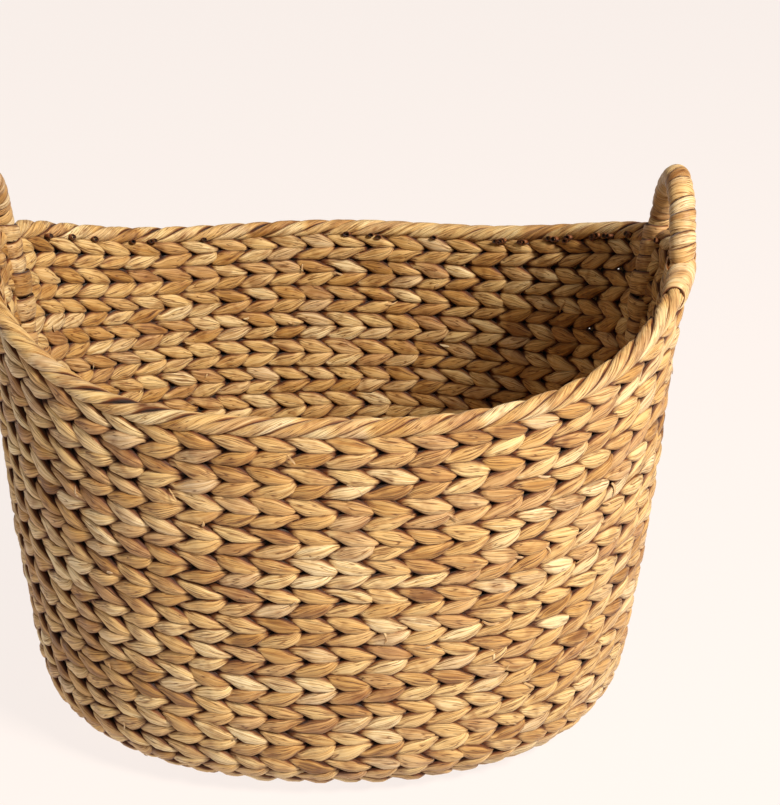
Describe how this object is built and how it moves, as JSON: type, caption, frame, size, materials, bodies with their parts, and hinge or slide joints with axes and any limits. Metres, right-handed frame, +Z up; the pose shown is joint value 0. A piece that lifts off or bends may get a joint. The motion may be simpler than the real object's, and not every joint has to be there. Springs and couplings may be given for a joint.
{
  "type": "woven laundry basket",
  "caption": "Oval laundry basket twined from water hyacinth, with a rim that rises to a wrapped arch handle at each end.",
  "frame": {"origin": "centre of the flat underside, on the floor", "axes": "+X towards the right-hand handle, +Y to the back, +Z up"},
  "size_m": [0.5752, 0.4498, 0.48],
  "materials": {
    "hyacinth": "matte",
    "hyacinth_rim": "matte",
    "hyacinth_wrap": "satin",
    "cane": "matte",
    "steel_wire": "satin"
  },
  "bodies": {
    "root": {"base_centre": "hyacinth", "base_ring_01": "hyacinth", "base_ring_02": "hyacinth", "base_ring_03": "hyacinth", "base_ring_04": "hyacinth", "base_ring_05": "hyacinth", "base_ring_06": "hyacinth", "base_ring_07": "hyacinth", "base_ring_08": "hyacinth", "base_ring_09": "hyacinth", "base_spokes": "cane", "side_stakes": "cane", "wall_row_01": "hyacinth", "wall_row_02": "hyacinth", "wall_row_03": "hyacinth", "wall_row_04": "hyacinth", "wall_row_05": "hyacinth", "wall_row_06": "hyacinth", "wall_row_07": "hyacinth", "wall_row_08": "hyacinth", "wall_row_09": "hyacinth", "wall_row_10": "hyacinth", "wall_row_11": "hyacinth", "wall_row_12": "hyacinth", "wall_row_13": "hyacinth", "wall_row_14": "hyacinth", "wall_row_15": "hyacinth", "wall_row_16": "hyacinth", "wall_row_17": "hyacinth", "wall_row_18": "hyacinth", "wall_row_19": "hyacinth", "wall_row_20": "hyacinth", "wall_row_21": "hyacinth", "wall_row_22": "hyacinth", "wall_row_23": "hyacinth", "wall_row_24": "hyacinth", "wall_row_25": "hyacinth", "wall_row_26": "hyacinth", "wall_row_27": "hyacinth", "rim_border": "hyacinth_rim", "handle_core_left": "steel_wire", "handle_core_right": "steel_wire", "handle_wrap_left": "hyacinth_wrap", "handle_wrap_right": "hyacinth_wrap", "lashing_left_front": "hyacinth_wrap", "lashing_left_back": "hyacinth_wrap", "lashing_right_front": "hyacinth_wrap", "lashing_right_back": "hyacinth_wrap"}
  },
  "joints": []
}
